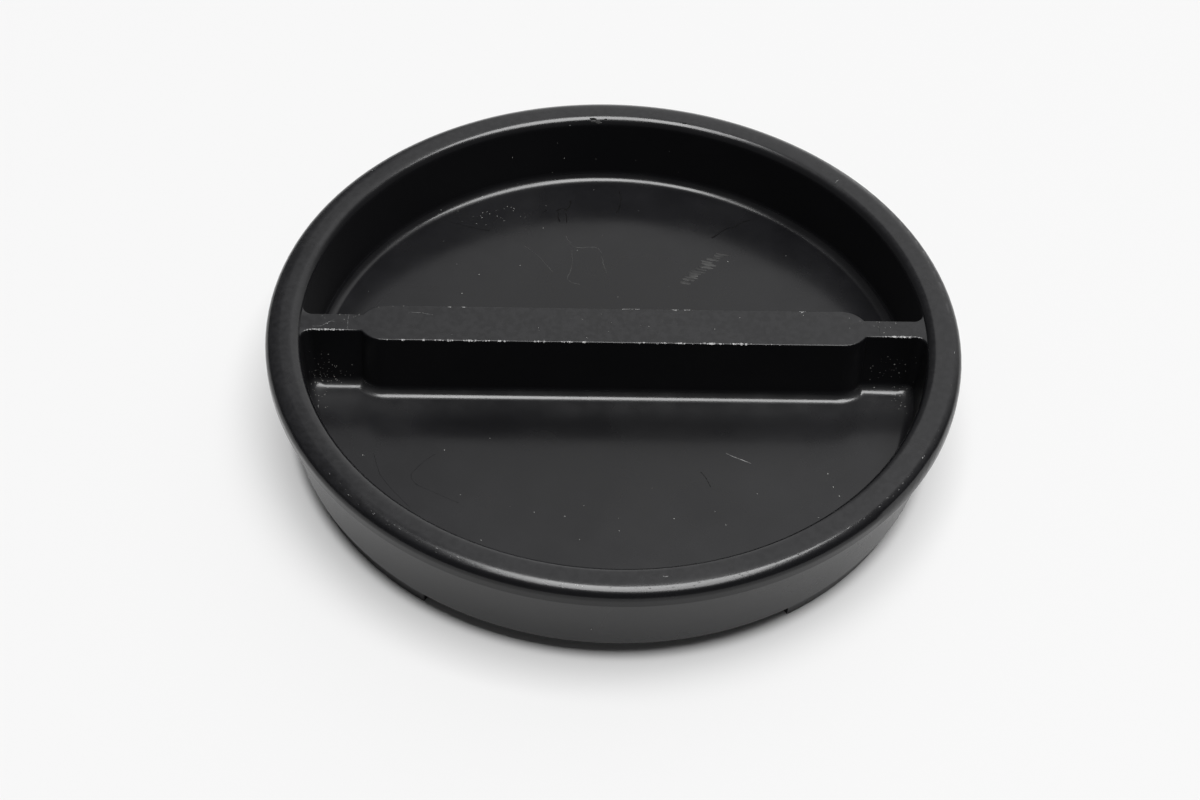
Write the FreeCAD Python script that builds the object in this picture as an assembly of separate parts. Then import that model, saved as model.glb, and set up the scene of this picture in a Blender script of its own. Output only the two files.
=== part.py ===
"""Camera body cap: a one-piece moulded dish with a grip bar across it and bayonet lugs below.

Millimetres, +Z up. The origin is the middle of the face that the cap rests on, under the lugs.
The grip bar lies along X.
"""
import FreeCAD
import Part
import math
import os

# Rim, skirt and floor
rim_diameter = 84.0
lip_thickness = 2.1        # height of the rim's lip where it overhangs the skirt
lip_edge_radius = 1.2      # rounding of the lip's outer top edge
skirt_diameter = 79.0
seat_depth = 11.9          # rim top down to the face that seats on the camera
floor_thickness = 1.8

# Dish and finger wells
dish_diameter = 75.5       # between the inner walls, just below the rim's rounded inner edge
dish_depth = 9.5           # rim top down to the floor of the wells
wall_draft = 3.5           # degrees
rim_inner_radius = 1.2     # rounding of the rim's inner edge
floor_fillet = 1.25        # rounding between the floor and everything that stands on it

# Grip bar
bar_drop = 0.7             # how far the bar's top lies below the rim
bar_width = 6.0
bar_draft = 2.0            # degrees
bar_edge_radius = 0.2      # rounding of the bar's top edges
grip_length = 61.0         # length of the wide part, shoulder to shoulder
shoulder_radius = 3.4      # curve that narrows the wide part to the necks
neck_width = 2.85          # narrow ends that join the bar to the wall
neck_flare_radius = 1.2    # rounding between the necks and the wall
core_wall = 1.6            # plastic left round the hollow under the bar

# Bayonet
spigot_diameter = 73.8
spigot_wall = 1.8
mount_gap = 0.9            # room between the seat and the lugs for the camera's flange
lug_diameter = 77.4
lug_thickness = 1.6
lug_count = 3
lug_span = 54.3            # degrees
front_gap_angle = -92.0    # degrees, the middle of the gap between the two front lugs

# Heights that follow from the sizes above
rim_z = seat_depth + mount_gap + lug_thickness
lip_z = rim_z - lip_thickness
bar_z = rim_z - bar_drop
bar_edge_z = bar_z - bar_edge_radius
rim_edge_z = rim_z - rim_inner_radius
mouth_z = min(bar_edge_z, rim_edge_z)
floor_z = rim_z - dish_depth
underside_z = floor_z - floor_thickness
seat_z = rim_z - seat_depth
lug_top_z = seat_z - mount_gap

AXIS = FreeCAD.Vector(0, 0, 1)
ORIGIN = FreeCAD.Vector(0, 0, 0)
NUDGE = 1.0                # how far cutting shapes run past the face that they open
ROUNDING_STEPS = 5         # straight steps in each rounding of the wells' floor and mouth
CORE_ROUNDING = 0.9        # rounding of the hollow's ends, as a share of its half width


def point(x, y, z):
    return FreeCAD.Vector(x, y, z)


def polar(radius, angle):
    """X and Y of a point on a circle about the origin; the angle is in radians."""
    return radius * math.cos(angle), radius * math.sin(angle)


def line(start, end):
    return Part.makeLine(start, end)


def arc(start, middle, end):
    return Part.Arc(start, middle, end).toShape()


def turned(edges, sweep=360.0):
    """Solid of revolution from a closed profile in the XZ plane."""
    return Part.Face(Part.Wire(edges)).revolve(ORIGIN, AXIS, sweep)


def polyline(corners):
    """Straight edges through the corners, which are points in the XZ plane."""
    places = [point(r, 0, z) for r, z in corners]
    return [line(a, b) for a, b in zip(places, places[1:])]


def make_blank():
    """Everything the lathe would leave: lip, skirt, floor and spigot, with the dish still full."""
    rim = rim_diameter / 2
    skirt = skirt_diameter / 2
    spigot = spigot_diameter / 2
    bore = spigot - spigot_wall
    edge_middle = math.radians(45)
    edge_centre = (rim - lip_edge_radius, rim_z - lip_edge_radius)
    along_x, along_z = polar(lip_edge_radius, edge_middle)
    outside = polyline([
        (0, rim_z), (0, underside_z), (bore, underside_z), (bore, 0), (spigot, 0),
        (spigot, seat_z), (skirt, seat_z), (skirt, lip_z), (rim, lip_z), (rim, edge_centre[1]),
    ])
    rounding = arc(
        point(rim, 0, edge_centre[1]),
        point(edge_centre[0] + along_x, 0, edge_centre[1] + along_z),
        point(edge_centre[0], 0, rim_z),
    )
    top = line(point(edge_centre[0], 0, rim_z), point(0, 0, rim_z))
    return turned(outside + [rounding, top])


def make_recess():
    """Round cut from the rim down to the bar's top, with the rim's rounded inner edge."""
    wall = dish_diameter / 2
    rim = wall + rim_inner_radius
    lean, rise = polar(rim_inner_radius, math.radians(45))
    rounding = arc(
        point(wall, 0, rim_edge_z),
        point(rim - lean, 0, rim_edge_z + rise),
        point(rim, 0, rim_z),
    )
    rest = polyline([
        (rim, rim_z), (rim, rim_z + NUDGE), (0, rim_z + NUDGE), (0, floor_z), (wall, floor_z),
        (wall, rim_edge_z),
    ])
    above_bar = Part.makeCylinder(rim_diameter, dish_depth, point(0, 0, bar_z))
    return turned([rounding] + rest).common(above_bar)


def lean_out(radius, height):
    """How far a rounded edge has leaned out at a height above the start of its rounding."""
    reach = min(max(height, 0), radius)
    return radius - math.sqrt(radius ** 2 - reach ** 2)


def draft_out(angle, z):
    """How far a drafted wall of the well has moved out at height z; nothing at the mouth."""
    return min(z - mouth_z, 0) * math.tan(math.radians(angle))


def well_outline(z):
    """Closed outline of the finger well on the +Y side of the bar, at height z."""
    floor_in = lean_out(floor_fillet, floor_z + floor_fillet - z)
    wall_out = draft_out(wall_draft, z) + lean_out(rim_inner_radius, z - rim_edge_z) - floor_in
    bar_in = draft_out(bar_draft, z) + lean_out(bar_edge_radius, z - bar_edge_z) - floor_in
    wall = dish_diameter / 2 + wall_out
    grip_side = bar_width / 2 - bar_in
    neck_side = neck_width / 2 - bar_in

    shoulder = shoulder_radius - bar_in
    shoulder_y = bar_width / 2 - shoulder_radius
    shoulder_x = grip_length / 2 - math.sqrt(shoulder_radius ** 2 - (neck_width / 2 - shoulder_y) ** 2)
    last_angle = math.asin((neck_side - shoulder_y) / shoulder)
    corner_x = shoulder_x + shoulder * math.cos(last_angle)
    across, up = polar(shoulder, (last_angle + math.pi / 2) / 2)

    flare_y = neck_side + neck_flare_radius
    flare_x = math.sqrt((wall - neck_flare_radius) ** 2 - flare_y ** 2)
    wall_angle = math.atan2(flare_y, flare_x)
    wall_x, wall_y = polar(wall, wall_angle)
    bend_x, bend_y = polar(neck_flare_radius, (wall_angle - math.pi / 2) / 2)

    def half(side):
        """Edges from the bar's middle to the wall, on the side with this sign of X."""
        return [
            line(point(0, grip_side, z), point(side * shoulder_x, grip_side, z)),
            arc(point(side * shoulder_x, grip_side, z),
                point(side * (shoulder_x + across), shoulder_y + up, z),
                point(side * corner_x, neck_side, z)),
            line(point(side * corner_x, neck_side, z), point(side * flare_x, neck_side, z)),
            arc(point(side * flare_x, neck_side, z),
                point(side * (flare_x + bend_x), flare_y + bend_y, z),
                point(side * wall_x, wall_y, z)),
        ]

    wall_edge = arc(point(wall_x, wall_y, z), point(0, wall, z), point(-wall_x, wall_y, z))
    return Part.Wire(half(1) + [wall_edge] + half(-1)[::-1])


def make_well():
    """Finger well on the +Y side: drafted walls, a rounded floor and a rounded mouth."""
    turns = [math.pi / 2 * step / ROUNDING_STEPS for step in range(ROUNDING_STEPS + 1)]
    floor_levels = [floor_z + floor_fillet * (1 - math.cos(turn)) for turn in turns]
    rim_levels = [rim_edge_z + rim_inner_radius * math.sin(turn) for turn in turns]
    bar_levels = [bar_edge_z + bar_edge_radius * math.sin(turn) for turn in turns]
    levels = floor_levels + [z for z in rim_levels if z < bar_edge_z] + bar_levels
    return Part.makeLoft([well_outline(z) for z in levels], True, True)


def make_core():
    """Hollow under the bar, open below, which keeps the bar's walls about as thick as the rest."""
    length = grip_length - 2 * core_wall
    width = bar_width - 2 * core_wall
    bottom = underside_z - NUDGE
    height = bar_z - core_wall - bottom
    core = Part.makeBox(length, width, height, point(-length / 2, -width / 2, bottom))
    upright = [edge for edge in core.Edges if edge.BoundBox.ZLength > height / 2]
    return core.makeFillet(width / 2 * CORE_ROUNDING, upright)


def make_lug(middle):
    """One bayonet lug, centred on this angle in degrees."""
    root = spigot_diameter / 2 - spigot_wall / 2
    tip = lug_diameter / 2
    profile = polyline([(root, 0), (tip, 0), (tip, lug_top_z), (root, lug_top_z), (root, 0)])
    lug = turned(profile, lug_span)
    lug.rotate(ORIGIN, AXIS, middle - lug_span / 2)
    return lug


def make_cap():
    step = 360.0 / lug_count
    lugs = [make_lug(front_gap_angle + step * (index + 0.5)) for index in range(lug_count)]
    well = make_well()
    other_well = well.copy()
    other_well.rotate(ORIGIN, AXIS, 180)
    cap = make_blank().fuse(lugs)
    cap = cap.cut([make_recess(), well, other_well, make_core()])
    return cap.removeSplitter().Solids[0]


cap = make_cap()
os.makedirs("parts", exist_ok=True)
cap.exportStep("parts/body_cap.step")
print("valid", cap.isValid(), "volume", round(cap.Volume, 1), "box", cap.BoundBox)
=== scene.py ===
"""Looks of the camera body cap: worn satin black plastic on a white table, under a soft overhead light.

Sizes and places are in millimetres and angles in degrees, unless a comment says otherwise.
"""
import math
import random
from collections import namedtuple

import bmesh
import bpy
from mathutils import Matrix, Quaternion, Vector
from mathutils.bvhtree import BVHTree
from mathutils.geometry import interpolate_bezier


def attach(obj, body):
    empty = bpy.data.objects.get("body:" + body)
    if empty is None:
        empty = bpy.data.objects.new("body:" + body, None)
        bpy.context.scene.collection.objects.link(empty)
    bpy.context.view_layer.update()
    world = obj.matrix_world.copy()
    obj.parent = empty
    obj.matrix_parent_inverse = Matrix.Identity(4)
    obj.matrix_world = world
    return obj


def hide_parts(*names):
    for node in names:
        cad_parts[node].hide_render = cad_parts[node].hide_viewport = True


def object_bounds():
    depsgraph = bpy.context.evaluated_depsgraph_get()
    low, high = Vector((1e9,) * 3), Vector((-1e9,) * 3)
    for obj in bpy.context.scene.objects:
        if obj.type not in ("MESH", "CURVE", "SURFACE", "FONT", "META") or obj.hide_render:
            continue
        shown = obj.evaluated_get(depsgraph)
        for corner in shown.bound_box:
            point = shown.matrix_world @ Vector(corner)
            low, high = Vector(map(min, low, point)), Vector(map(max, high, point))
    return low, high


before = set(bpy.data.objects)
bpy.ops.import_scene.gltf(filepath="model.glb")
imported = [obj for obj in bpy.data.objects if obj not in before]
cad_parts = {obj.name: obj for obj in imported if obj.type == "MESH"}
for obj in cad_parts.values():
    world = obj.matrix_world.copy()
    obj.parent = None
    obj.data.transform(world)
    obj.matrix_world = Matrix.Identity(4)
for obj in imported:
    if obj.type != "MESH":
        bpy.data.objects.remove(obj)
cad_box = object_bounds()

MM = 0.001                 # metres
SCENE = bpy.context.scene
RANDOM = random.Random(11)

# Camera, as fitted to the photograph
CAMERA_PLACE = (-10.79, -193.17, 205.52)
CAMERA_YAW = 2.80          # clockwise from looking along +Y
CAMERA_LOOK_DOWN = 46.67
CAMERA_ROLL = 2.73
CAMERA_LENS = 67.5
SENSOR_WIDTH = 36.0
CLIP_START = 10.0

# Softbox, in metres; a level is a radiance
SOFTBOX_PLACE = (0.30, -0.10, 3.0)
SOFTBOX_SIZE = (1.9, 2.2)
SOFTBOX_LEVEL = 8.8

# Room and backdrop: a pair gives where the backdrop is dark and where it is full
WHITE = (1.0, 1.0, 1.0, 1.0)
ROOM_LEVEL = 0.08
BACKDROP_LEVEL = 0.63
BACKDROP_LEFT = (-15.5, 1.5)   # clockwise from straight behind the table
BACKDROP_RIGHT = (80, 35)
BACKDROP_TOP = (0.96, 0.90)    # sine of the height above the horizon
HORIZON_LEVEL = 0.70           # the backdrop is brighter where it meets the table
HORIZON_ENDS = (0.02, 0.25)    # sines between which that level gives way to the backdrop's own

# Table
TABLE_SIZE = 12.0          # metres
TABLE_COLOUR = (0.74, 0.74, 0.74, 1.0)
TABLE_ROUGHNESS = 0.8
TABLE_GLOSS = 0.2
TABLE_GLOW = 0.94          # level of the white that the camera and reflections see mixed in
TABLE_GLOW_SHARE = 0.45
TABLE_PAINTED_SHADOW_RADII = (38.6, 40.5)    # the glow is left out under the cap, which paints the table dark there

# Surfaces of the moulded cap; heights follow from the top of its box
_, (_, _, box_top) = cad_box
RIM_TOP = round(box_top / MM, 3)
BAR_DROP = 0.7
BAR_TOP = RIM_TOP - BAR_DROP
BAR_EDGE = 3.0             # distance of the bar's long sides from its middle
NECK_EDGE = 1.425          # and of the sides of its narrow ends
DISH_DEPTH = 9.5
WELL_FLOOR = RIM_TOP - DISH_DEPTH
RIM_STARTS = 38.95         # radius where the rim's rounded inner edge meets its flat top
INNER_ROUNDING = 1.2       # radius of that rounding
INNER_RINGS = 8            # bands that the rounding is cut into above the bar's top
WELD = 0.002               # corners closer than this are one
SHARP_ANGLE = 35           # edges that bend more than this stay sharp

# The worn rim is highest between two radii and falls to either side, by so much at one millimetre from
# them and growing with the square
CROWN_HIGHEST = (39.7, 40.15)
CROWN_ENDS = (37.9, 41.2)
CROWN_FALLS = (0.015, 0.120)
CROWN_LOOPS = 3            # loops of corners added at either side, so far apart
CROWN_SPACING = 0.22
CROWN_LOWEST = 12.8        # what lies below, on the lip's side and the skirt, stays as it is
FLAT_WITHIN = 0.01         # height within which the moulded rim's top is flat

# Colours of the plastic: red, green, blue and opacity
DEEP_BLACK = (0.0037, 0.0037, 0.0044, 1.0)
# dust colour, also painted light on the dish's upright walls that lifts their shade
DUST_AND_FILL_BLACK = (0.0095, 0.0095, 0.0108, 1.0)
# paler plastic on the up-facing tops: partly rubbed, partly painted light
RUBBED_AND_LIT_BLACK = (0.0145, 0.0145, 0.0158, 1.0)
# paler dust along the bar's foot, which also paints the glow that spreads from the foot's highlight
FOOT_DUST_AND_GLOW = (0.0270, 0.0270, 0.0280, 1.0)

# Uneven patterns in the plastic: noise per metre, its detail, the values that count and what they give
Pattern = namedtuple("Pattern", "scale detail ends levels")
CLOUDS = Pattern(scale=260.0, detail=6.0, ends=(0.30, 0.75), levels=(0.5, 1.0))
SPECKLE = Pattern(scale=1500.0, detail=4.0, ends=(0.35, 0.65), levels=(0.4, 1.0))
ROUGHNESS = Pattern(scale=75.0, detail=5.0, ends=(0.3, 0.7), levels=(0.19, 0.31))

# Where the plastic changes: a pair gives where a change starts and where it is complete
STEEP = (0.5, 0.2)             # upward part of the direction that a face looks in
DISH_WALL_RADII = (38.6, 38.2)
PAST_DISH_RADII = (38.8, 39.2)
DUST_RADII = (8.0, 36.0)
DUST_HEIGHTS = (8.0, 6.0)
DUST_SHARES = (0.5, 1.0)
FOOT_DISTANCES = (8.5, 3.5)    # from the bar's middle
FOOT_HEIGHTS = (6.0, 5.2)
FOOT_RADII = (38.2, 36.0)
TOP_HEIGHTS = (13.0, 13.6)
TOP_FACING = (0.7, 1.0)
SKIRT_HEIGHTS = (12.6, 12.3)

# Moulded faces are not quite flat, and the skirt has a deeper grain than the rest
SWELL_SCALE = 42.0         # noise per metre
SWELL_DETAIL = 1.0
SWELL_DEPTH = 0.25
GRAIN_SCALE = 1700.0
GRAIN_DETAIL = 3.0
GRAIN_DEPTHS = (0.0012, 0.0060)
BUMP_DISTANCE = 1.0        # a relief of one metre counts as one metre

# Share of the gloss that is left on the bar's edges, the lip and the skirt, and where those are
EDGE_FOOT_HEIGHTS = (13.50, 13.55)
EDGE_TOP_HEIGHTS = (13.70, 13.68)
EDGE_RADII = (37.3, 37.0)
EDGE_GLOSS = (1.0, 0.42)
LIP_RADII = (40.7, 41.8)
LIP_GLOSS = (1.0, 0.55)
SKIRT_GLOSS_HEIGHTS = (2.5, 12.2)
SKIRT_GLOSS = (0.70, 1.0)

# Reflection of open faces and of the dish's walls
SPECULAR = (0.50, 0.25)
COAT = (0.40, 0.05)
COAT_ROUGHNESS = 0.16
WALL_ROUGHNESS = 0.15      # added on the dish's walls
PLASTIC_IOR = 1.46

# Plastic and the mottled finishes of what is worn or lies on it, numbered as on the mesh; a scale is noise
# per metre
PLASTIC, WORN_AND_GLINT, DUST, FILM, GRIME_AND_SHADE = range(5)
Finish = namedtuple("Finish", "name dark light scale roughness specular")
FINISHES = [
    # worn plastic is stress-whitened, and its pale colour also paints the glints of chipped, scratched and
    # scuffed facets
    Finish("worn_plastic_and_glint", dark=(0.12, 0.12, 0.12, 1.0), light=(0.36, 0.36, 0.36, 1.0),
           scale=3000.0, roughness=0.4, specular=0.5),
    Finish("dust", dark=(0.22, 0.22, 0.21, 1.0), light=(0.55, 0.55, 0.53, 1.0),
           scale=900.0, roughness=0.9, specular=0.5),
    Finish("dried_film", dark=(0.018, 0.018, 0.018, 1.0), light=(0.045, 0.045, 0.044, 1.0),
           scale=700.0, roughness=0.5, specular=0.5),
    # grime for dark streaks, also laid as painted shade where nicks break the rim's highlight
    Finish("grime_and_shade", dark=(0.003, 0.003, 0.003, 1.0), light=(0.006, 0.006, 0.006, 1.0),
           scale=700.0, roughness=0.8, specular=0.1),
]
MOTTLE_DETAIL = 3.0
MOTTLE_ENDS = (0.35, 0.65)

# Wear on the bar's top edges: start and end along the bar, and how far it reaches into the top
FRONT_EDGE_WEAR = [
    (-28.8, -27.0, 0.19), (-26.7, -24.6, 0.19), (-23.3, -22.6, 0.25), (-21.8, -19.1, 0.28),
    (-19.0, -15.9, 0.23), (-15.8, -14.7, 0.24), (-14.5, -12.4, 0.24), (-10.2, -7.8, 0.22),
    (-6.7, -4.7, 0.24), (-4.4, -2.9, 0.22), (2.1, 4.0, 0.24), (4.9, 6.4, 0.27), (6.8, 9.0, 0.21),
    (9.8, 13.3, 0.27), (13.6, 16.7, 0.27), (18.0, 19.6, 0.22), (21.4, 26.3, 0.12),
]
BACK_EDGE_WEAR = [
    (-20.3, -19.7, 0.34), (-18.6, -18.0, 0.32), (0.8, 3.3, 0.27), (6.0, 9.8, 0.27), (22.5, 23.6, 0.36),
]
NECK_EDGE_WEAR = (32.2, 37.1, 0.24)
WEAR_LEAST = 0.5           # least and most share of the reach, from step to step
WEAR_MOST = 1.1
NECK_LEAST = 0.9           # the wear on the necks is even
WEAR_STEP = 0.18
WEAR_FEWEST_STEPS = 5
WEAR_TAPER = 0.3           # the lower this power, the more suddenly a run of wear ends
WEAR_SLOPES = (14, 30)
WEAR_PAST = 0.25           # how far the cutter runs past the edge
WEAR_ABOVE = 0.4           # and above the bar's top

# Small chips strewn along each long edge besides the runs of wear
CHIP_COUNT = 34
CHIP_REACH = 28            # to either side of the bar's middle
CHIP_OUT = 0.02            # past the edge
CHIP_HEIGHTS = (-0.05, 0.03)
CHIP_LENGTHS = (0.06, 0.2)
CHIP_WIDTHS = (0.08, 0.16)

# Scratches on level faces: what shows in them, height of the face, width, and points in plan
NECK_LINE = 32.15          # a fine line crosses each neck this far from the middle
SCRATCHES = [
    (WORN_AND_GLINT, WELL_FLOOR, 0.09, [(13.5, -12.7), (14.4, -13.25), (15.5, -13.8), (16.4, -14.3)]),
    (WORN_AND_GLINT, BAR_TOP, 0.05, [(-25.0, 1.8), (-23.5, 1.75), (-22.0, 1.4)]),
    (WORN_AND_GLINT, BAR_TOP, 0.05, [(-36.4, -0.8), (-35.4, -0.75), (-34.3, 0.1), (-33.7, 0.0)]),
    (WORN_AND_GLINT, BAR_TOP, 0.05, [(-NECK_LINE, -1.3), (-NECK_LINE - 0.05, 0.0), (-NECK_LINE, 1.3)]),
    (FILM, BAR_TOP, 0.06, [(NECK_LINE, -1.3), (NECK_LINE + 0.04, 0.1), (NECK_LINE, 1.3)]),
    (WORN_AND_GLINT, RIM_TOP, 0.10, [(29.0, 26.0), (29.2, 26.3), (29.5, 26.5)]),
    (WORN_AND_GLINT, RIM_TOP, 0.10, [(4.5, -39.3), (4.8, -39.4), (5.1, -39.3)]),
]
SCRATCH_DEPTH = 0.05
SCRATCH_LIFT = 0.05        # how far the cutter stands out of the face
SCRATCH_END_DEPTH = 0.3    # shares of the depth and width that are left at the ends
SCRATCH_END_WIDTH = 0.4

# Corners of a lump lie at random shares of its half sizes
LUMP_SHARES = (0.75, 1.15)

# Dust, as single specks in plan and as patches: middle, spread and number
FLOOR_SPECKS = [
    (-20.3, -12.7), (-18.2, -19.7), (-9.5, -22.3), (-15.6, -26.6), (-30.0, -13.6), (23.2, 22.2),
    (12.9, -23.9), (-8.6, 26.9), (26.6, -19.3), (26.0, -17.9), (25.5, -15.8),
]
FLOOR_SPECK = (0.08, 0.06, 0.04)   # half length, width and height
BAR_SPECKS = [
    (28.7, 1.8), (-32.5, 1.2), (-31.3, 1.0), (-30.9, 1.2), (32.1, 0.3), (32.0, 1.2), (23.1, 2.2),
    (-28.6, 2.6), (-26.9, 2.8), (-25.6, 2.9), (-3.4, -2.1),
]
BAR_SPECK = (0.06, 0.045, 0.02)
DUST_PATCHES = [
    ((-35.0, -1.4, 6.9), (1.6, 0.1, 1.5), 60),
    ((34.6, -1.4, 8.0), (1.7, 0.1, 2.0), 34),
    ((-35.6, -4.4, 5.6), (0.6, 2.2, 0.5), 34),
    ((35.2, -3.6, 5.4), (0.9, 1.4, 0.3), 16),
    ((0.0, -20.0, WELL_FLOOR), (14.0, 7.0, 0.0), 16),
    ((0.0, 20.0, WELL_FLOOR), (14.0, 6.0, 0.0), 14),
    ((-16.0, 30.0, WELL_FLOOR), (4.5, 1.6, 0.0), 36),
    ((-10.0, 36.0, 8.5), (9.0, 0.6, 1.8), 16),
    ((-32.0, 0.8, BAR_TOP), (1.6, 0.5, 0.0), 9),
    ((32.0, 0.6, BAR_TOP), (1.2, 0.6, 0.0), 10),
    ((0.0, 0.5, BAR_TOP), (13.0, 1.2, 0.0), 12),
]
PATCH_WIDTHS = (0.025, 0.065)
PATCH_LENGTHS = (0.8, 1.6)     # this and the next are shares of the width
PATCH_HEIGHT = 0.5

# Scuffs on the rounded outer edge of the rim: middle angle, spread in degrees and number
RIM_SCUFFS = [
    (-126, 9, 40), (-100, 14, 20), (-62, 12, 44), (-44, 8, 30), (0, 20, 14), (42, 20, 10), (130, 20, 12),
]
SCUFF_RADIUS = 40.9
SCUFF_SCATTER = 0.25
SCUFF_FARTHEST = 41.7
SCUFF_TILTS = (-0.6, 0.6)      # rise or fall along the edge
SCUFF_LENGTHS = (0.05, 0.22)
SCUFF_WIDTHS = (0.02, 0.045)
SCUFF_HEIGHT = 0.02
SCUFF_MATERIALS = (FILM, FILM, WORN_AND_GLINT)

# Pale streaks of dried film and dark ones of grime on the well floors: radius, and points in plan
STREAKS = [
    (FILM, 0.055, [(-5.6, 25.4), (-4.7, 23.5), (-3.1, 23.2), (-1.4, 23.2), (-0.8, 20.5), (-0.4, 18.5)]),
    (FILM, 0.055, [(-4.9, 22.7), (-4.8, 19.9), (-5.4, 17.1), (-3.8, 16.2)]),
    (FILM, 0.040, [(-11.0, 23.4), (-9.4, 21.7), (-8.0, 19.6), (-7.3, 18.5)]),
    (GRIME_AND_SHADE, 0.060, [(-21.6, 28.2), (-18.9, 27.1), (-15.6, 26.2)]),
    (GRIME_AND_SHADE, 0.11, [(-6.7, 29.9), (-6.6, 28.9), (-6.4, 28.1)]),
    (GRIME_AND_SHADE, 0.13, [(-6.8, 30.3), (-6.1, 30.9), (-5.4, 30.5), (-5.0, 31.5), (-4.9, 32.3)]),
    (GRIME_AND_SHADE, 0.09, [(-5.6, 29.9), (-5.5, 29.0), (-5.6, 28.0)]),
    (GRIME_AND_SHADE, 0.09, [(-8.5, 30.1), (-8.1, 30.5)]),
    (GRIME_AND_SHADE, 0.10, [(1.6, 34.5), (1.8, 33.1), (1.6, 31.5), (1.1, 30.1)]),
    (GRIME_AND_SHADE, 0.12, [(13.7, 25.5), (15.3, 26.9), (17.1, 28.1), (18.9, 29.1)]),
    (GRIME_AND_SHADE, 0.05, [(10.3, -15.7), (10.8, -16.5), (11.4, -18.1)]),
    (GRIME_AND_SHADE, 0.025, [(-21.4, -13.3), (-22.7, -14.6), (-23.9, -16.2), (-24.1, -17.0), (-23.5, -18.1),
                    (-21.5, -19.3), (-18.4, -21.0)]),
    (GRIME_AND_SHADE, 0.025, [(-28.7, -13.4), (-28.3, -14.9), (-27.7, -16.8), (-26.2, -19.1), (-24.1, -21.7)]),
]
STREAK_STEP = 0.7          # distance between the blots that make up a streak
STREAK_SCATTER = 0.5       # this and the next two are shares of the radius
STREAK_WIDTHS = (0.7, 1.2)
STREAK_HEIGHT = 0.3
STREAK_LENGTHS = (0.6, 0.9)    # shares of the step
HANDLE_PARTS = 6           # a handle of the curve is a sixth of the way between the points on either side

# Bruises on the inner edge of the rim: what shows, place, and half sizes along and across the edge. The
# grime lumps are painted shade where nicks bite into the edge's highlight.
BRUISES = [
    (GRIME_AND_SHADE, (-2.2, 38.27, 14.19), (0.55, 0.16)),
    (FILM, (-2.1, 38.05, 13.97), (0.45, 0.20)),
    (FILM, (-1.5, 37.98, 13.88), (0.40, 0.24)),
    (WORN_AND_GLINT, (-1.1, 37.95, 13.82), (0.12, 0.07)),
    (GRIME_AND_SHADE, (-0.5, 38.25, 14.17), (0.25, 0.10)),
    (GRIME_AND_SHADE, (9.9, 37.43, 14.38), (0.40, 0.12)),
    (WORN_AND_GLINT, (-5.2, 37.49, 13.65), (0.11, 0.09)),
]
BRUISE_HEIGHT = 0.03
BRUISE_DIRECTION = Vector((1.0, 0.0, 0.0))

# Smear of dried film on the back floor, made of short strokes side by side
SMEAR_START = (9.6, 17.0)
SMEAR_END = (14.7, 22.4)
SMEAR_SCATTER = (0.2, 0.1)
SMEAR_STROKE = (2.1, -0.5, 0.0)
SMEAR_STROKES = 14
SMEAR_RADIUS = 0.30
SMEAR_LENGTHS = (0.35, 0.55)   # shares of the stroke
SMEAR_WIDTHS = (0.6, 1.1)      # shares of the radius
SMEAR_HEIGHT = 0.02


def add_camera():
    camera = bpy.data.objects.new("camera", bpy.data.cameras.new("camera"))
    SCENE.collection.objects.link(camera)
    yaw = math.radians(CAMERA_YAW)
    pitch = math.radians(CAMERA_LOOK_DOWN)
    level = math.cos(pitch)
    forward = Vector((math.sin(yaw) * level, math.cos(yaw) * level, -math.sin(pitch)))
    roll = Quaternion((0, 0, 1), math.radians(CAMERA_ROLL))
    camera.rotation_mode = "QUATERNION"
    camera.rotation_quaternion = forward.to_track_quat("-Z", "Y") @ roll
    camera.location = Vector(CAMERA_PLACE) * MM
    camera.data.sensor_width = SENSOR_WIDTH
    camera.data.lens = CAMERA_LENS
    camera.data.clip_start = CLIP_START * MM
    SCENE.camera = camera


def add_panel(name, place, size, level):
    """Rectangular light of that radiance, aimed at the object."""
    width, depth = size
    light = bpy.data.lights.new(name, "AREA")
    light.shape = "RECTANGLE"
    light.size = width
    light.size_y = depth
    light.energy = level * math.pi * width * depth
    panel = bpy.data.objects.new(name, light)
    SCENE.collection.objects.link(panel)
    panel.location = place
    panel.rotation_mode = "QUATERNION"
    panel.rotation_quaternion = (-Vector(place)).to_track_quat("-Z", "Y")


def feed(tree, node, inputs):
    """Sets a node's inputs; each is a value or the socket that feeds it."""
    for name, value in inputs.items():
        if isinstance(value, bpy.types.NodeSocket):
            tree.links.new(value, node.inputs[name])
        else:
            node.inputs[name].default_value = value


def new_node(tree, kind, inputs=None, **settings):
    node = tree.nodes.new("ShaderNode" + kind)
    for name, value in settings.items():
        setattr(node, name, value)
    feed(tree, node, inputs or {})
    return node


def calculate(tree, operation, first, second=0.0):
    return new_node(tree, "Math", {0: first, 1: second}, operation=operation).outputs[0]


def product(tree, first, *others):
    for other in others:
        first = calculate(tree, "MULTIPLY", first, other)
    return first


def between(tree, value, ends, levels=(0.0, 1.0)):
    """Smooth step from the first level to the second as a value goes from one end to the other."""
    inputs = {
        "Value": value,
        "From Min": ends[0],
        "From Max": ends[1],
        "To Min": levels[0],
        "To Max": levels[1],
    }
    return new_node(tree, "MapRange", inputs, interpolation_type="SMOOTHSTEP").outputs["Result"]


def between_mm(tree, length, ends, levels=(0.0, 1.0)):
    """Smooth step of a length whose ends are in millimetres."""
    return between(tree, length, [end * MM for end in ends], levels)


def fade(tree, share, levels):
    """Smooth step from the first level to the second as a share goes from nothing to all."""
    return between(tree, share, (0.0, 1.0), levels)


def noise(tree, place, scale, detail):
    return new_node(tree, "TexNoise", {"Vector": place, "Scale": scale, "Detail": detail}).outputs["Fac"]


def pattern(tree, place, kind):
    return between(tree, noise(tree, place, kind.scale, kind.detail), kind.ends, kind.levels)


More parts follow.
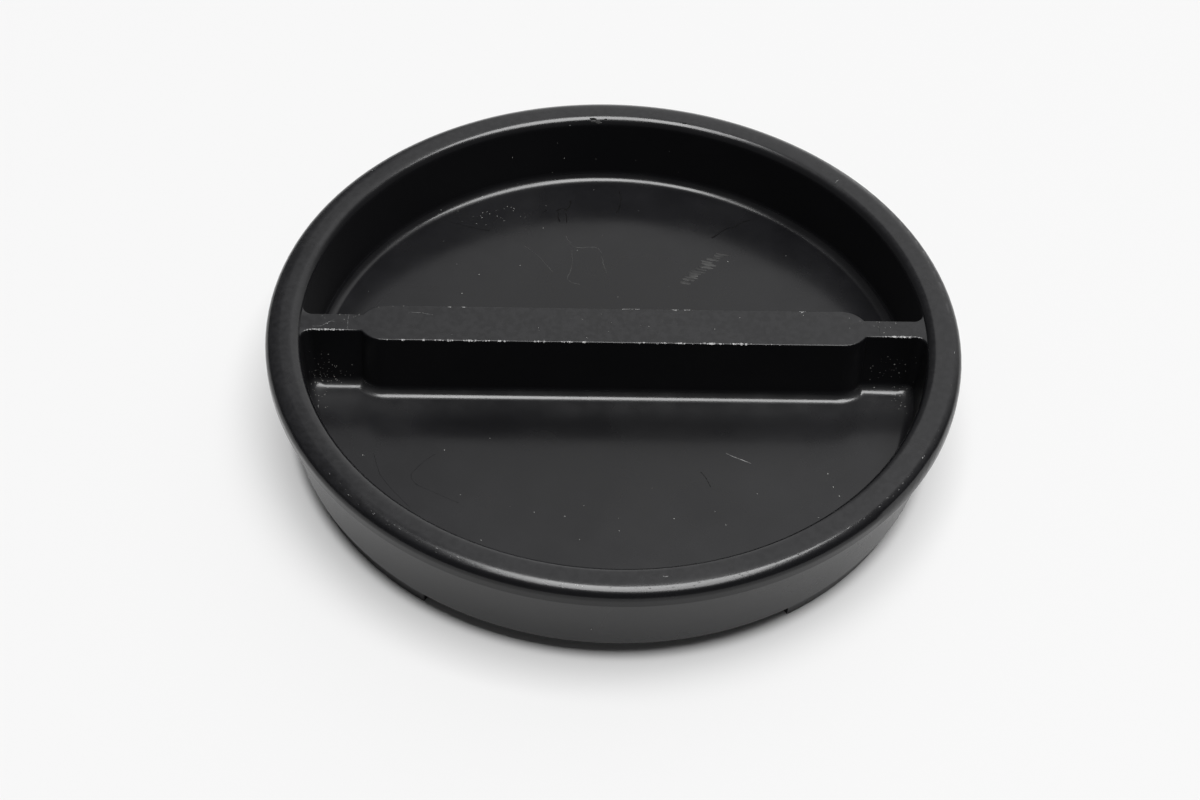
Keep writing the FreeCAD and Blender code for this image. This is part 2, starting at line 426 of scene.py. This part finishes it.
def blend(tree, share, low, high):
    """Colour that goes from low to high with the share."""
    # The node has sockets for several kinds of values; these numbers are its colour sockets
    inputs = {0: share, 6: low, 7: high}
    return new_node(tree, "Mix", inputs, data_type="RGBA").outputs[2]


def new_material(name):
    """Material with nodes, its node tree and its shader."""
    material = bpy.data.materials.new(name)
    material.use_nodes = True
    tree = material.node_tree
    return material, tree, tree.nodes["Principled BSDF"]


def add_world():
    """Dark room with a pale backdrop behind the table and to its right, soft at its edges."""
    world = bpy.data.worlds.new("studio")
    SCENE.world = world
    world.use_nodes = True
    tree = world.node_tree
    direction = new_node(tree, "TexCoord").outputs["Generated"]
    parts = new_node(tree, "SeparateXYZ", {0: direction}).outputs
    turn = calculate(tree, "ARCTAN2", parts["X"], parts["Y"])
    past_left = between(tree, turn, [math.radians(angle) for angle in BACKDROP_LEFT])
    past_right = between(tree, turn, [math.radians(angle) for angle in BACKDROP_RIGHT])
    below_top = between(tree, parts["Z"], BACKDROP_TOP)
    inside = product(tree, past_left, past_right, below_top)
    backdrop = between(tree, parts["Z"], HORIZON_ENDS, (HORIZON_LEVEL, BACKDROP_LEVEL))
    level = fade(tree, inside, (ROOM_LEVEL, backdrop))
    feed(tree, tree.nodes["Background"], {"Color": WHITE, "Strength": level})


def table_material():
    """White whose glow, for the camera and in reflections, is left out under the cap, which paints a
    shadow there.
    """
    material, tree, shader = new_material("table_white")
    feed(tree, shader, {
        "Base Color": TABLE_COLOUR,
        "Roughness": TABLE_ROUGHNESS,
        "Specular IOR Level": TABLE_GLOSS,
    })
    glow = new_node(tree, "Emission", {"Strength": TABLE_GLOW})
    place = new_node(tree, "TexCoord").outputs["Object"]
    distance = new_node(tree, "VectorMath", {0: place}, operation="LENGTH").outputs["Value"]
    # painted shadow: the glow fades out towards the cap, so the table under it stays dark
    glowing = between_mm(tree, distance, TABLE_PAINTED_SHADOW_RADII, (0.0, TABLE_GLOW_SHARE))
    path = new_node(tree, "LightPath").outputs
    seen = calculate(tree, "MAXIMUM", path["Is Camera Ray"], path["Is Glossy Ray"])
    seen = calculate(tree, "MAXIMUM", seen, path["Is Transmission Ray"])
    share = product(tree, seen, glowing)
    mix = new_node(tree, "MixShader", {0: share, 1: shader.outputs["BSDF"], 2: glow.outputs["Emission"]})
    feed(tree, tree.nodes["Material Output"], {"Surface": mix.outputs["Shader"]})
    return material


def add_table():
    half = TABLE_SIZE / 2
    corners = [(-half, -half, 0), (half, -half, 0), (half, half, 0), (-half, half, 0)]
    mesh = bpy.data.meshes.new("table")
    mesh.from_pydata(corners, [], [(0, 1, 2, 3)])
    mesh.materials.append(table_material())
    table = bpy.data.objects.new("table", mesh)
    SCENE.collection.objects.link(table)


# Where a point of the plastic lies, and the upward part of the direction that its face looks in
Spot = namedtuple("Spot", "place radius height from_bar facing_up")


def find_spot(tree):
    place = new_node(tree, "TexCoord").outputs["Object"]
    parts = new_node(tree, "SeparateXYZ", {0: place}).outputs
    flat = new_node(tree, "CombineXYZ", {"X": parts["X"], "Y": parts["Y"]}).outputs[0]
    radius = new_node(tree, "VectorMath", {0: flat}, operation="LENGTH").outputs["Value"]
    from_bar = calculate(tree, "ABSOLUTE", parts["Y"])
    normal = new_node(tree, "NewGeometry").outputs["Normal"]
    facing_up = new_node(tree, "SeparateXYZ", {0: normal}).outputs["Z"]
    return Spot(place, radius, parts["Z"], from_bar, facing_up)


def dish_walls(tree, spot):
    """Share of the upright walls in the dish."""
    upright = between(tree, calculate(tree, "ABSOLUTE", spot.facing_up), STEEP)
    return product(tree, upright, between_mm(tree, spot.radius, DISH_WALL_RADII))


def thin_dust_and_wall_fill(tree, spot, clouds, walls):
    """Share of thin dust, which lies in clouds towards the wall, and of the same paler colour evenly on
    the dish's walls, where it is partly dust and partly painted light that lifts their shade.
    """
    near_wall = between_mm(tree, spot.radius, DUST_RADII)
    low = between_mm(tree, spot.height, DUST_HEIGHTS, DUST_SHARES)
    return calculate(tree, "MAXIMUM", product(tree, clouds, near_wall, low), walls)


def foot_dust_and_glow(tree, spot, clouds):
    """Share of thicker dust along the foot of the bar, which also paints the soft glow below the foot's
    highlight.
    """
    near_bar = between_mm(tree, spot.from_bar, FOOT_DISTANCES)
    on_floor = between_mm(tree, spot.height, FOOT_HEIGHTS)
    in_dish = between_mm(tree, spot.radius, FOOT_RADII)
    return product(tree, clouds, near_bar, on_floor, in_dish)


def rubbed_and_lit_tops(tree, spot):
    """Share of paler plastic on the up-facing tops of the rim and bar: partly rubbed, partly painted light
    on faces that look up.
    """
    on_top = between_mm(tree, spot.height, TOP_HEIGHTS)
    lit_and_rubbed = between(tree, product(tree, on_top, spot.facing_up), TOP_FACING)
    return product(tree, lit_and_rubbed, pattern(tree, spot.place, SPECKLE))


def gloss_left(tree, spot, past_dish):
    """Share of the gloss that is left, which is less on the bar's edges, the lip and the skirt."""
    above = between_mm(tree, spot.height, EDGE_FOOT_HEIGHTS)
    below = between_mm(tree, spot.height, EDGE_TOP_HEIGHTS)
    on_bar = between_mm(tree, spot.radius, EDGE_RADII)
    edge = fade(tree, product(tree, above, below, on_bar), EDGE_GLOSS)
    lip = between_mm(tree, spot.radius, LIP_RADII, LIP_GLOSS)
    skirt = between_mm(tree, spot.height, SKIRT_GLOSS_HEIGHTS, SKIRT_GLOSS)
    skirt = calculate(tree, "POWER", skirt, past_dish)
    return product(tree, lip, skirt, edge)


def moulded_normal(tree, spot, past_dish):
    """Normal of the moulded faces, with their swell and grain."""
    swell = product(tree, noise(tree, spot.place, SWELL_SCALE, SWELL_DETAIL), SWELL_DEPTH * MM)
    on_skirt = product(tree, past_dish, between_mm(tree, spot.height, SKIRT_HEIGHTS))
    grain_depth = fade(tree, on_skirt, [depth * MM for depth in GRAIN_DEPTHS])
    grain = product(tree, noise(tree, spot.place, GRAIN_SCALE, GRAIN_DETAIL), grain_depth)
    relief = calculate(tree, "ADD", swell, grain)
    return new_node(tree, "Bump", {"Height": relief, "Distance": BUMP_DISTANCE}).outputs["Normal"]


def plastic_material():
    """Black moulded plastic: glossy in the dish, duller on its walls and outside, dusty and rubbed, with
    painted light on the dish's walls and up-facing tops and a painted glow along the bar's foot.
    """
    material, tree, shader = new_material("black_plastic")
    spot = find_spot(tree)
    walls = dish_walls(tree, spot)
    past_dish = between_mm(tree, spot.radius, PAST_DISH_RADII)
    clouds = pattern(tree, spot.place, CLOUDS)
    # dust, and painted light on the dish's walls
    colour = blend(tree, thin_dust_and_wall_fill(tree, spot, clouds, walls), DEEP_BLACK, DUST_AND_FILL_BLACK)
    # dust and a painted glow along the bar's foot
    colour = blend(tree, foot_dust_and_glow(tree, spot, clouds), colour, FOOT_DUST_AND_GLOW)
    # rubbed plastic and painted light on the up-facing tops
    colour = blend(tree, rubbed_and_lit_tops(tree, spot), colour, RUBBED_AND_LIT_BLACK)
    roughness = pattern(tree, spot.place, ROUGHNESS)
    roughness = calculate(tree, "ADD", roughness, product(tree, walls, WALL_ROUGHNESS))
    gloss = gloss_left(tree, spot, past_dish)
    normal = moulded_normal(tree, spot, past_dish)
    feed(tree, shader, {
        "Base Color": colour,
        "Roughness": roughness,
        "IOR": PLASTIC_IOR,
        "Specular IOR Level": product(tree, gloss, fade(tree, walls, SPECULAR)),
        "Coat Weight": product(tree, gloss, fade(tree, walls, COAT)),
        "Coat Roughness": COAT_ROUGHNESS,
        "Normal": normal,
        "Coat Normal": normal,
    })
    return material


def mottled_material(finish):
    """Dull material whose colour wanders between two shades."""
    material, tree, shader = new_material(finish.name)
    place = new_node(tree, "TexCoord").outputs["Object"]
    share = between(tree, noise(tree, place, finish.scale, MOTTLE_DETAIL), MOTTLE_ENDS)
    feed(tree, shader, {
        "Base Color": blend(tree, share, finish.dark, finish.light),
        "Roughness": finish.roughness,
        "Specular IOR Level": finish.specular,
    })
    return material


def add_tube(edit, rings, material):
    """Closed skin over rings of corners, which all have the same count."""
    loops = [[edit.verts.new(Vector(corner) * MM) for corner in ring] for ring in rings]
    faces = [edit.faces.new(loops[0]), edit.faces.new(loops[-1][::-1])]
    for near, far in zip(loops, loops[1:]):
        for index in range(len(near)):
            following = (index + 1) % len(near)
            faces.append(edit.faces.new((near[index], far[index], far[following], near[following])))
    for face in faces:
        face.material_index = material


def add_lump(edit, place, turn, size, material):
    """Small uneven lump with these half sizes; turn is a rotation matrix."""
    made = bmesh.ops.create_icosphere(edit, subdivisions=1, radius=1.0)
    faces = set()
    for vert in made["verts"]:
        uneven = vert.co * RANDOM.uniform(*LUMP_SHARES)
        scaled = Vector([uneven[axis] * size[axis] for axis in range(3)])
        vert.co = (Vector(place) + turn @ scaled) * MM
        faces.update(vert.link_faces)
    for face in faces:
        face.material_index = material


def cut_edge(edit, start, end, edge, reach, least=WEAR_LEAST):
    """Cutter that wears an edge of the bar down to an uneven slope; edge is negative for the front."""
    count = max(WEAR_FEWEST_STEPS, round((end - start) / WEAR_STEP))
    side = math.copysign(1, edge)
    outer = abs(edge) + WEAR_PAST
    rings = []
    for index in range(count + 1):
        share = index / count
        taper = math.sin(math.pi * share) ** WEAR_TAPER
        inner = abs(edge) - reach * taper * RANDOM.uniform(least, WEAR_MOST)
        slope = math.tan(math.radians(RANDOM.uniform(*WEAR_SLOPES)))
        innermost = inner - WEAR_PAST
        corners = [
            (innermost, WEAR_PAST * slope),
            (outer, (inner - outer) * slope),
            (outer, WEAR_ABOVE),
            (innermost, WEAR_ABOVE),
        ]
        x = start + (end - start) * share
        rings.append([(x, side * y, BAR_TOP + z) for y, z in corners])
    add_tube(edit, rings, WORN_AND_GLINT)


def cut_edges(edit):
    """Cutters for all the runs of wear on the bar's top edges."""
    for start, end, reach in FRONT_EDGE_WEAR:
        cut_edge(edit, start, end, -BAR_EDGE, reach)
    for start, end, reach in BACK_EDGE_WEAR:
        cut_edge(edit, start, end, BAR_EDGE, reach)
    start, end, reach = NECK_EDGE_WEAR
    cut_edge(edit, start, end, -NECK_EDGE, reach, NECK_LEAST)
    cut_edge(edit, -end, -start, -NECK_EDGE, reach, NECK_LEAST)


def cut_scratch(edit, top, width, points, material):
    """Cutter for a fine V-shaped scratch in a level face."""
    last = len(points) - 1
    rings = []
    for index, (x, y) in enumerate(points):
        before = Vector(points[max(index - 1, 0)])
        after = Vector(points[min(index + 1, last)])
        direction = (after - before).normalized()
        at_end = index in (0, last)
        depth = SCRATCH_DEPTH * (SCRATCH_END_DEPTH if at_end else 1.0)
        half = width / 2 * (depth + SCRATCH_LIFT) / depth * (SCRATCH_END_WIDTH if at_end else 1.0)
        left = (x - direction.y * half, y + direction.x * half, top + SCRATCH_LIFT)
        right = (x + direction.y * half, y - direction.x * half, top + SCRATCH_LIFT)
        rings.append([left, right, (x, y, top - depth)])
    add_tube(edit, rings, material)


def cut_chips(edit):
    """Cutters for the small chips along the bar's long edges."""
    for side in (-1, 1):
        for _ in range(CHIP_COUNT):
            x = RANDOM.uniform(-CHIP_REACH, CHIP_REACH)
            z = BAR_TOP + RANDOM.uniform(*CHIP_HEIGHTS)
            place = (x, side * (BAR_EDGE + CHIP_OUT), z)
            size = [RANDOM.uniform(*sizes) for sizes in (CHIP_LENGTHS, CHIP_WIDTHS, CHIP_WIDTHS)]
            add_lump(edit, place, Matrix.Identity(3), size, WORN_AND_GLINT)


def make_cutter():
    """All the places where plastic is worn, chipped or scratched away, as one mesh."""
    edit = bmesh.new()
    cut_edges(edit)
    for material, top, width, points in SCRATCHES:
        cut_scratch(edit, top, width, points, material)
    cut_chips(edit)
    bmesh.ops.triangulate(edit, faces=edit.faces)
    bmesh.ops.recalc_face_normals(edit, faces=edit.faces)
    mesh = bpy.data.meshes.new("wear")
    edit.to_mesh(mesh)
    edit.free()
    cutter = bpy.data.objects.new("wear", mesh)
    SCENE.collection.objects.link(cutter)
    return cutter


def even_inner_edge(edit):
    """Cuts the rim's rounded inner edge into even rings, so that it shades smoothly."""
    tight = WELD * MM
    lowest = BAR_TOP * MM
    widest = RIM_STARTS * MM
    centre = RIM_TOP - INNER_ROUNDING
    first_turn = math.asin((BAR_TOP - centre) / INNER_ROUNDING)

    def at_edge(corner):
        return corner.z > lowest - tight and corner.xy.length < widest + tight

    for ring in range(1, INNER_RINGS):
        turn = first_turn + (math.pi / 2 - first_turn) * ring / INNER_RINGS
        height = centre + INNER_ROUNDING * math.sin(turn)
        faces = [face for face in edit.faces if all(at_edge(vert.co) for vert in face.verts)]
        edges = dict.fromkeys(edge for face in faces for edge in face.edges)
        verts = dict.fromkeys(vert for face in faces for vert in face.verts)
        bmesh.ops.bisect_plane(edit, geom=[*verts, *edges, *faces], dist=tight,
                               plane_co=(0, 0, height * MM), plane_no=(0, 0, 1))
    for vert in edit.verts:
        radius = vert.co.xy.length
        if vert.co.z > lowest + tight and radius < widest - tight:
            above = vert.co.z / MM - centre
            reach = RIM_STARTS - math.sqrt(INNER_ROUNDING ** 2 - above ** 2)
            vert.co.xy *= reach * MM / radius


def crown_rim(edit):
    """Wears the rim's flat top slightly round."""
    level = (RIM_TOP - FLAT_WITHIN) * MM
    flat = [face for face in edit.faces if all(vert.co.z > level for vert in face.verts)]
    for _ in range(CROWN_LOOPS):
        bmesh.ops.inset_region(edit, faces=flat, thickness=CROWN_SPACING * MM, use_boundary=True,
                               use_even_offset=True)
    high_start, high_end = CROWN_HIGHEST
    innermost, outermost = CROWN_ENDS
    inner_fall, outer_fall = CROWN_FALLS
    for vert in edit.verts:
        radius = vert.co.xy.length / MM
        if radius > innermost and vert.co.z > CROWN_LOWEST * MM:
            inside = max(high_start - radius, 0)
            outside = max(min(radius, outermost) - high_end, 0)
            starting = min((radius - innermost) / (RIM_STARTS - innermost), 1.0)
            fall = inner_fall * inside ** 2 * starting + outer_fall * outside ** 2
            vert.co.z -= fall * MM


def welded_copy(source):
    """Copy of the moulded cap's mesh with its seams welded and its rim worn round."""
    mesh = source.copy()
    mesh.name = "cap"
    edit = bmesh.new()
    edit.from_mesh(mesh)
    bmesh.ops.remove_doubles(edit, verts=edit.verts, dist=WELD * MM)
    even_inner_edge(edit)
    crown_rim(edit)
    edit.to_mesh(mesh)
    edit.free()
    if "custom_normal" in mesh.attributes:
        mesh.attributes.remove(mesh.attributes["custom_normal"])
    mesh.materials.clear()
    mesh.materials.append(plastic_material())
    for finish in FINISHES:
        mesh.materials.append(mottled_material(finish))
    return mesh


def cut_away(cap):
    """Gives the cap a mesh from which the worn places are cut."""
    cutter = make_cutter()
    cut = cap.modifiers.new("wear", "BOOLEAN")
    cut.object = cutter
    cut.operation = "DIFFERENCE"
    cut.solver = "EXACT"
    cut.use_self = True
    finished = cap.evaluated_get(bpy.context.evaluated_depsgraph_get())
    worn = bpy.data.meshes.new_from_object(finished)
    cap.modifiers.clear()
    cap.data = worn
    bpy.data.objects.remove(cutter)


def lay_lump(edit, surface, place, size, material, direction=None):
    """Lump on the surface nearest to a place, turned along the direction or else at random."""
    spot, normal, _, _ = surface.find_nearest(Vector(place) * MM)
    if direction is None:
        direction = Vector([RANDOM.gauss(0, 1) for _ in range(3)])
    across = normal.cross(direction).normalized()
    turn = Matrix((across.cross(normal), across, normal)).transposed()
    add_lump(edit, spot / MM, turn, size, material)


def add_specks(edit, surface):
    """Single specks of dust, and patches of them."""
    for x, y in FLOOR_SPECKS:
        lay_lump(edit, surface, (x, y, WELL_FLOOR), FLOOR_SPECK, DUST)
    for x, y in BAR_SPECKS:
        lay_lump(edit, surface, (x, y, BAR_TOP), BAR_SPECK, DUST)
    for middle, spread, count in DUST_PATCHES:
        for _ in range(count):
            width = RANDOM.uniform(*PATCH_WIDTHS)
            place = [RANDOM.gauss(centre, scatter) for centre, scatter in zip(middle, spread)]
            size = (width * RANDOM.uniform(*PATCH_LENGTHS), width, width * PATCH_HEIGHT)
            lay_lump(edit, surface, place, size, DUST)


def add_scuffs(edit, surface):
    """Scuffs along the rounded outer edge of the rim."""
    for middle, spread, count in RIM_SCUFFS:
        for _ in range(count):
            angle = math.radians(RANDOM.gauss(middle, spread))
            radius = min(SCUFF_RADIUS + abs(RANDOM.gauss(0, SCUFF_SCATTER)), SCUFF_FARTHEST)
            direction = Vector((-math.sin(angle), math.cos(angle), RANDOM.uniform(*SCUFF_TILTS)))
            size = (RANDOM.uniform(*SCUFF_LENGTHS), RANDOM.uniform(*SCUFF_WIDTHS), SCUFF_HEIGHT)
            material = RANDOM.choice(SCUFF_MATERIALS)
            place = (radius * math.cos(angle), radius * math.sin(angle), RIM_TOP)
            lay_lump(edit, surface, place, size, material, direction)


def smooth_line(points, step):
    """Points about a step apart along a smooth curve through these points."""
    line = []
    ends = [points[0], *points, points[-1]]
    for before, start, end, after in zip(ends, ends[1:], ends[2:], ends[3:]):
        leaving = start + (end - before) / HANDLE_PARTS
        arriving = end - (after - start) / HANDLE_PARTS
        count = math.ceil((end - start).length / step) + 1
        line += interpolate_bezier(start, leaving, arriving, end, max(count, 2))[:-1]
    return line + [points[-1]]


def add_streaks(edit, surface):
    """Streaks of film and grime, as blots along smooth curves."""
    for material, radius, points in STREAKS:
        line = smooth_line([Vector((x, y, WELL_FLOOR)) for x, y in points], STREAK_STEP)
        for start, end in zip(line, line[1:]):
            shift = Vector((RANDOM.gauss(0, STREAK_SCATTER), RANDOM.gauss(0, STREAK_SCATTER), 0))
            place = (start + end) / 2 + shift * radius
            length = (end - start).length * RANDOM.uniform(*STREAK_LENGTHS)
            size = (length, radius * RANDOM.uniform(*STREAK_WIDTHS), radius * STREAK_HEIGHT)
            lay_lump(edit, surface, place, size, material, end - start)


def add_smear(edit, surface):
    """Smear of film on the back floor."""
    scatter_x, scatter_y = SMEAR_SCATTER
    for index in range(SMEAR_STROKES):
        middle = Vector(SMEAR_START).lerp(Vector(SMEAR_END), index / (SMEAR_STROKES - 1))
        x = middle.x + RANDOM.gauss(0, scatter_x)
        y = middle.y + RANDOM.gauss(0, scatter_y)
        stroke = Vector(SMEAR_STROKE) * RANDOM.uniform(*SMEAR_LENGTHS)
        size = (stroke.length, SMEAR_RADIUS * RANDOM.uniform(*SMEAR_WIDTHS), SMEAR_HEIGHT)
        lay_lump(edit, surface, (x, y, WELL_FLOOR), size, FILM, stroke)


def add_dirt_and_nick_shade(edit):
    """All that lies on the surface: dust, scuffs, streaks, bruises with the painted shade of the nicks,
    and the smear.
    """
    surface = BVHTree.FromBMesh(edit)
    add_specks(edit, surface)
    add_scuffs(edit, surface)
    add_streaks(edit, surface)
    for material, place, size in BRUISES:
        lay_lump(edit, surface, place, (*size, BRUISE_HEIGHT), material, BRUISE_DIRECTION)
    add_smear(edit, surface)


def make_cap():
    """The moulded cap as it is now: worn at the edges, scratched and dusty."""
    cap = bpy.data.objects.new("cap", welded_copy(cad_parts["body_cap"].data))
    SCENE.collection.objects.link(cap)
    cut_away(cap)
    edit = bmesh.new()
    edit.from_mesh(cap.data)
    for face in edit.faces:
        face.smooth = face.material_index == PLASTIC
    for edge in edit.edges:
        edge.smooth = edge.calc_face_angle(0) < math.radians(SHARP_ANGLE)
    add_dirt_and_nick_shade(edit)
    edit.to_mesh(cap.data)
    edit.free()
    steady = cap.modifiers.new("steady_normals", "WEIGHTED_NORMAL")
    steady.keep_sharp = True
    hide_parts("body_cap")
    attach(cap, "root")


SCENE.view_settings.view_transform = "Standard"
add_camera()
add_world()
add_panel("softbox", SOFTBOX_PLACE, SOFTBOX_SIZE, SOFTBOX_LEVEL)
add_table()
make_cap()
